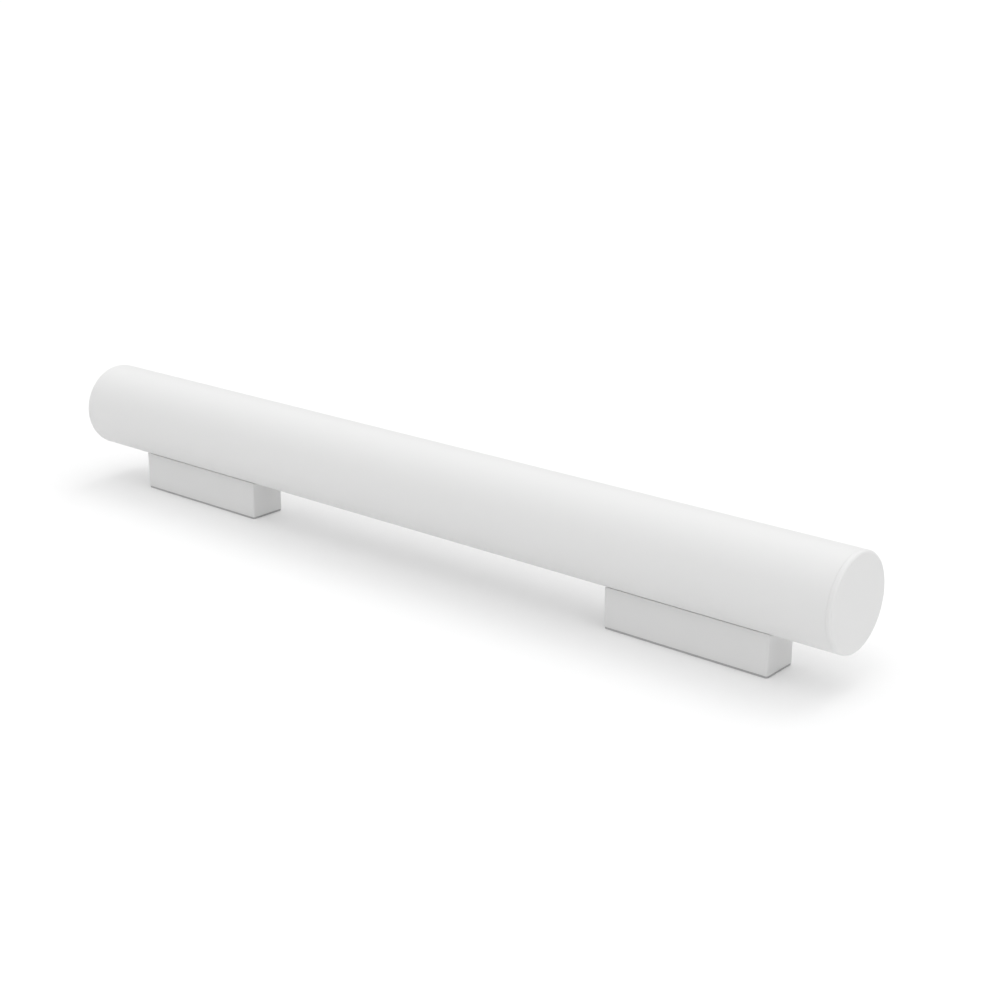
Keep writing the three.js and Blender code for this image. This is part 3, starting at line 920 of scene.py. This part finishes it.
def wall_plate(side, sizes):
    """The plate that is screwed to the wall, with countersunk holes and the set screws' dimples."""
    low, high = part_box(f"wall_plate_{side}")
    middle = centre((low, high)).x
    plate = high - low
    rows = []
    for inset, height in rounded_slab(sizes.plate_edge, plate.z):
        size = (plate.x - 2 * inset, plate.y - 2 * inset)
        rows.append(block_row(middle, size, sizes.plate_corner - inset, low.z + height))
    name = f"wall_plate_{side}_looks"
    blank = new_object(name, capped_mesh(name, rows))

    hole, head = sizes.wall_hole / 2, sizes.wall_hole_head / 2
    countersink = [
        (0.0, low.z - OVERCUT),
        (hole, low.z - OVERCUT),
        (hole, high.z - (head - hole)),
        (head + OVERCUT, high.z + OVERCUT),
        (0.0, high.z + OVERCUT),
    ]
    dimple = [
        (0.0, plate.y / 2 - sizes.dimple_depth),
        (sizes.dimple_floor, plate.y / 2 - sizes.dimple_depth),
        (sizes.dimple_floor + sizes.dimple_depth + OVERCUT, plate.y / 2 + OVERCUT),
        (0.0, plate.y / 2 + OVERCUT),
    ]
    cutters = []
    hole_out = plate.x / 2 - sizes.wall_hole_inset
    for x in (middle - hole_out, middle + hole_out):
        place = Matrix.Translation((x, 0.0, 0.0))
        cutters.append(turned_mesh("drill", countersink, WALL_HOLE_SEGMENTS, place))
    cut(blank, cutters + set_screw_drills(side, dimple))
    hand_over(blank, zinc_plate(), "wall_plates", "zinc_plated_steel", f"wall_plate_{side}")


def hexagon_socket(flats, start, floor):
    """A cutter for a hexagon socket, with a drill point past its floor."""
    corner = flats / math.sqrt(3)
    away = 1 if floor > start else -1
    profile = [
        (0.0, start),
        (corner, start),
        (corner, floor),
        (0.0, floor + away * 0.5 * corner),
    ]
    return turned_mesh("socket", profile, 6)


def ring_row(radius, height, segments):
    """Points round the Z axis at a radius, or at a radius worked out from each point's number."""
    turns = [math.tau * i / segments for i in range(segments)]
    radii = [radius(i) if callable(radius) else radius for i in range(segments)]
    return [(r * math.cos(a), r * math.sin(a), height) for r, a in zip(radii, turns)]


def threaded_rows(radius, pitch, bottom, top, segments):
    """Rows of points up a thread: each stands out by where it is in the thread's turn."""
    depth = THREAD_DEPTH * pitch
    run_out = ROWS_PER_PITCH / 2
    rows = []
    count = round((top - bottom) / pitch * ROWS_PER_PITCH)
    for step in range(count + 1):
        height = bottom + (top - bottom) * step / count
        fade = min(1.0, step / run_out, (count - step) / run_out)

        def thread_radius(i):
            phase = (height / pitch - i / segments) % 1.0
            from_root = abs(phase - 0.5) - THREAD_FLAT / 2
            flank = min(1.0, max(0.0, from_root / (0.5 - THREAD_FLAT)))
            return radius - depth * (1 - fade * (1 - flank))

        rows.append(ring_row(thread_radius, height, segments))
    return rows


def set_screw(side, number, sizes):
    """A cone-point set screw, whose hexagon socket faces out of the foot."""
    node = f"set_screw_{side}_{number}"  # its body has the same name
    low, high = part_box(node)
    middle = centre((low, high))
    radius = size_of(node).x / 2
    length = high.y - low.y
    segments = SCREW_SEGMENTS
    point, chamfer = sizes.screw_point / 2, sizes.screw_chamfer
    shoulder = radius - point
    root = radius - THREAD_DEPTH * sizes.screw_pitch
    rows = [
        ring_row(point / 2, 0.0, segments),
        ring_row(point, 0.25 * point, segments),
        ring_row(root, shoulder - (radius - root), segments),
    ]
    rows += threaded_rows(radius, sizes.screw_pitch, shoulder, length - chamfer, segments)
    rows.append(ring_row(root, length, segments))
    name = f"{node}_looks"
    screw = new_object(name, capped_mesh(name, rows))
    floor = length - sizes.screw_socket_depth
    cut(screw, [hexagon_socket(sizes.screw_socket, length + chamfer, floor)])
    screw.data.transform(Matrix.Translation((middle.x, low.y, middle.z)) @ Z_TO_Y)
    hand_over(screw, black_oxide(), node, "black_oxide_steel", node)


def bolt_nodes(kind):
    return [f"{kind}_{side}_{number}" for side in SIDES for number in (1, 2)]


def copied_to_feet(obj, kind, material):
    """The piece copied to where the four CAD nodes of its kind are."""
    places = [centre(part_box(node)).x for node in bolt_nodes(kind)]
    left, right = [(a + b) / 2 for a, b in (places[:2], places[2:])]
    values = {
        "Foot spacing": right - left,
        "Pair spacing": places[1] - places[0],
        "Material": material,
    }
    return run_tree(obj, copies_tree(), values)


def rail_bolts(sizes):
    """The four socket screws that hold the rail down on its feet."""
    low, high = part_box("rail_bolt_left_1")
    head = size_of("rail_bolt_left_1").x / 2
    radius = sizes.bolt_diameter / 2
    neck = low.z + sizes.bolt_head
    segments = BOLT_SEGMENTS
    eased, chamfer = sizes.bolt_chamfer, sizes.bolt_end_chamfer
    root = radius - THREAD_DEPTH * sizes.bolt_pitch
    plain = neck + sizes.bolt_plain
    rows = [
        ring_row(head - eased, low.z, segments),
        ring_row(head - eased / 3, low.z + eased / 3, segments),
        ring_row(head, low.z + eased, segments),
    ]

    def grooved(i):
        return head - sizes.bolt_knurl * (i % 2)

    rows.append(ring_row(head, low.z + 2 * eased, segments))
    rows.append(ring_row(grooved, low.z + 2.5 * eased, segments))
    rows.append(ring_row(grooved, neck - eased, segments))
    rows.append(ring_row(head, neck - eased / 2, segments))
    rows.append(ring_row(head, neck - eased / 4, segments))
    rows.append(ring_row(head - eased / 4, neck, segments))
    rows.append(ring_row(radius, neck, segments))
    rows.append(ring_row(radius, plain, segments))
    rows += threaded_rows(radius, sizes.bolt_pitch, plain, high.z - chamfer, segments)
    rows.append(ring_row(root - chamfer / 3, high.z, segments))
    bolt = new_object("rail_bolts_looks", capped_mesh("rail_bolts_looks", rows))
    cut(bolt, [hexagon_socket(sizes.bolt_socket, low.z - OVERCUT, low.z + sizes.bolt_socket_depth)])
    shade(bolt.data)
    material = zinc_plate()
    bolts = copied_to_feet(bolt, "rail_bolt", material)
    hand_over(bolts, material, "rail", "zinc_plated_steel", *bolt_nodes("rail_bolt"))


def spring_washers(sizes):
    """The split washer under each rail bolt's head."""
    low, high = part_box("spring_washer_left_1")
    outer = (high.y - low.y) / 2
    inner = sizes.bolt_diameter / 2 + sizes.washer_fit
    thickness = (high.z - low.z) - sizes.washer_rise
    washer = new_object("spring_washers_looks", bpy.data.meshes.new("spring_washers_looks"))
    material = zinc_plate()
    values = {
        "Mean radius": (outer + inner) / 2,
        "Section width": outer - inner,
        "Section thickness": thickness,
        "Rise": sizes.washer_rise,
        "Slit": sizes.washer_slit,
        "Edge radius": sizes.washer_edge,
        "Bottom": low.z + thickness / 2,
        "Material": material,
    }
    washer = run_tree(washer, washer_tree(), values)
    washers = copied_to_feet(washer, "spring_washer", material)
    point_outwards(washers.data)
    hand_over(washers, material, "rail", "zinc_plated_steel", *bolt_nodes("spring_washer"))


def carried_over():
    """Finishes the CAD nodes that nothing here replaces."""
    finishes = {
        "core_tube": drawn_steel(),
        "nut_bar_left": drawn_steel(),
        "nut_bar_right": drawn_steel(),
        "foot_core_left": cast_aluminium(),
        "foot_core_right": cast_aluminium(),
        "cap_seal_left": rubber_and_painted_base_shade(),
        "cap_seal_right": rubber_and_painted_base_shade(),
    }
    for name, material in finishes.items():
        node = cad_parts[name]
        if not node.material_slots:
            node.data.materials.append(material)
        for material_slot in node.material_slots:
            material_slot.material = material


# ---------------------------------------------------------------- the stage


def floor_and_light(sizes):
    """A white floor, even light from all round, and soft suns from above and from three sides."""
    scene = bpy.context.scene
    scene.view_settings.view_transform = "Standard"
    reach = sizes.floor_reach
    mesh = bpy.data.meshes.new("floor")
    corners = [(-reach, -reach, 0.0), (reach, -reach, 0.0), (reach, reach, 0.0), (-reach, reach, 0.0)]
    mesh.from_pydata(corners, [], [(0, 1, 2, 3)])
    floor = new_object("floor", mesh)
    floor.location.z = -sizes.floor_drop
    mesh.materials.append(white_floor(sizes.floor_white))

    world = bpy.data.worlds.new("even_light")
    world.use_nodes = True
    background = world.node_tree.nodes["Background"]
    background.inputs["Color"].default_value = (1.0, 1.0, 1.0, 1.0)
    background.inputs["Strength"].default_value = sizes.dome
    scene.world = world

    lean = sizes.lean
    for name, strength, spread, turn in (
        ("overhead", sizes.overhead, sizes.overhead_spread, (0.0, 0.0, 0.0)),
        ("right", sizes.right, sizes.right_spread, (0.0, lean, 0.0)),
        ("front", sizes.front, sizes.soft_spread, (lean, 0.0, 0.0)),
        ("back", sizes.back, sizes.soft_spread, (-lean, 0.0, 0.0)),
    ):
        light = bpy.data.lights.new(name, "SUN")
        light.energy = strength
        light.angle = spread
        lamp = new_object(name, light)
        lamp.rotation_euler = turn


def camera(sizes):
    """The view from in front, to the right and above."""
    data = bpy.data.cameras.new("camera")
    data.sensor_width = 36.0
    data.lens = sizes.lens
    data.clip_start, data.clip_end = 0.01, 100.0
    level = math.cos(sizes.elevation)
    back = Vector(
        (
            math.sin(sizes.azimuth) * level,
            -math.cos(sizes.azimuth) * level,
            math.sin(sizes.elevation),
        )
    )
    viewer = new_object("camera", data)
    viewer.location = Vector(sizes.target) + sizes.distance * back
    viewer.rotation_euler = (math.pi / 2 - sizes.elevation, 0.0, sizes.azimuth)
    bpy.context.scene.camera = viewer


# ---------------------------------------------------------------- operators and panel


class BuildSleeve(bpy.types.Operator):
    """Builds the rail's white sleeve"""

    bl_idname = "grab_rail.sleeve"
    bl_label = "Sleeve"

    def execute(self, context):
        rail_sleeve(context.scene.grab_rail)
        return {"FINISHED"}


class BuildEndCaps(bpy.types.Operator):
    """Builds the cap at each end of the rail"""

    bl_idname = "grab_rail.end_caps"
    bl_label = "End caps"

    def execute(self, context):
        for side in SIDES:
            end_cap(side, context.scene.grab_rail)
        return {"FINISHED"}


class BuildFootShells(bpy.types.Operator):
    """Builds the white shell of each foot"""

    bl_idname = "grab_rail.foot_shells"
    bl_label = "Foot shells"

    def execute(self, context):
        for side in SIDES:
            foot_shell(side, context.scene.grab_rail_feet)
        return {"FINISHED"}


class BuildGaskets(bpy.types.Operator):
    """Builds the gasket under each foot"""

    bl_idname = "grab_rail.gaskets"
    bl_label = "Gaskets"

    def execute(self, context):
        for side in SIDES:
            base_gasket(side, context.scene.grab_rail_feet, context.scene.grab_rail_fixings)
        return {"FINISHED"}


class BuildWallPlates(bpy.types.Operator):
    """Builds the plate that holds each foot to the wall"""

    bl_idname = "grab_rail.wall_plates"
    bl_label = "Wall plates"

    def execute(self, context):
        for side in SIDES:
            wall_plate(side, context.scene.grab_rail_fixings)
        return {"FINISHED"}


class BuildSetScrews(bpy.types.Operator):
    """Builds the set screws that lock the feet onto their plates"""

    bl_idname = "grab_rail.set_screws"
    bl_label = "Set screws"

    def execute(self, context):
        for side in SIDES:
            for number in (1, 2):
                set_screw(side, number, context.scene.grab_rail_fixings)
        return {"FINISHED"}


class BuildRailBolts(bpy.types.Operator):
    """Builds the bolts that hold the rail down on its feet"""

    bl_idname = "grab_rail.rail_bolts"
    bl_label = "Rail bolts"

    def execute(self, context):
        rail_bolts(context.scene.grab_rail_fixings)
        return {"FINISHED"}


class BuildSpringWashers(bpy.types.Operator):
    """Builds the split washer under each bolt's head"""

    bl_idname = "grab_rail.spring_washers"
    bl_label = "Spring washers"

    def execute(self, context):
        spring_washers(context.scene.grab_rail_fixings)
        return {"FINISHED"}


class FinishMetalwork(bpy.types.Operator):
    """Finishes the tube, the cores, the nut bars and the seals"""

    bl_idname = "grab_rail.metalwork"
    bl_label = "Metalwork"

    def execute(self, context):
        carried_over()
        return {"FINISHED"}


class BuildStage(bpy.types.Operator):
    """Lays the floor, and sets the lights and the camera"""

    bl_idname = "grab_rail.stage"
    bl_label = "Stage"

    def execute(self, context):
        floor_and_light(context.scene.grab_rail_stage)
        camera(context.scene.grab_rail_stage)
        return {"FINISHED"}


OPERATORS = (
    BuildSleeve,
    BuildEndCaps,
    BuildFootShells,
    BuildGaskets,
    BuildWallPlates,
    BuildSetScrews,
    BuildRailBolts,
    BuildSpringWashers,
    FinishMetalwork,
    BuildStage,
)


class GrabRailPanel(bpy.types.Panel):
    """Lists the sizes and the steps that build the grab rail"""

    bl_idname = "VIEW3D_PT_grab_rail"
    bl_label = "Grab rail"
    bl_space_type = "VIEW_3D"
    bl_region_type = "UI"
    bl_category = "Grab rail"

    def draw(self, context):
        for group in PROPERTY_GROUPS:
            box = self.layout.box()
            for name in group.__annotations__:
                box.prop(getattr(context.scene, PROPERTY_GROUPS[group]), name)
        for operator in OPERATORS:
            self.layout.operator(operator.bl_idname)


PROPERTY_GROUPS = {
    RailSizes: "grab_rail",
    FootSizes: "grab_rail_feet",
    FixingSizes: "grab_rail_fixings",
    Finishes: "grab_rail_finishes",
    StageSizes: "grab_rail_stage",
}


def register():
    for group, name in PROPERTY_GROUPS.items():
        bpy.utils.register_class(group)
        setattr(bpy.types.Scene, name, bpy.props.PointerProperty(type=group))
    for operator in OPERATORS:
        bpy.utils.register_class(operator)
    bpy.utils.register_class(GrabRailPanel)


def unregister():
    bpy.utils.unregister_class(GrabRailPanel)
    for operator in reversed(OPERATORS):
        bpy.utils.unregister_class(operator)
    for group, name in reversed(PROPERTY_GROUPS.items()):
        delattr(bpy.types.Scene, name)
        bpy.utils.unregister_class(group)


def main():
    register()
    for operator in OPERATORS:
        step = operator.bl_idname.split(".")[1]
        getattr(bpy.ops.grab_rail, step)()


if __name__ == "__main__":
    main()
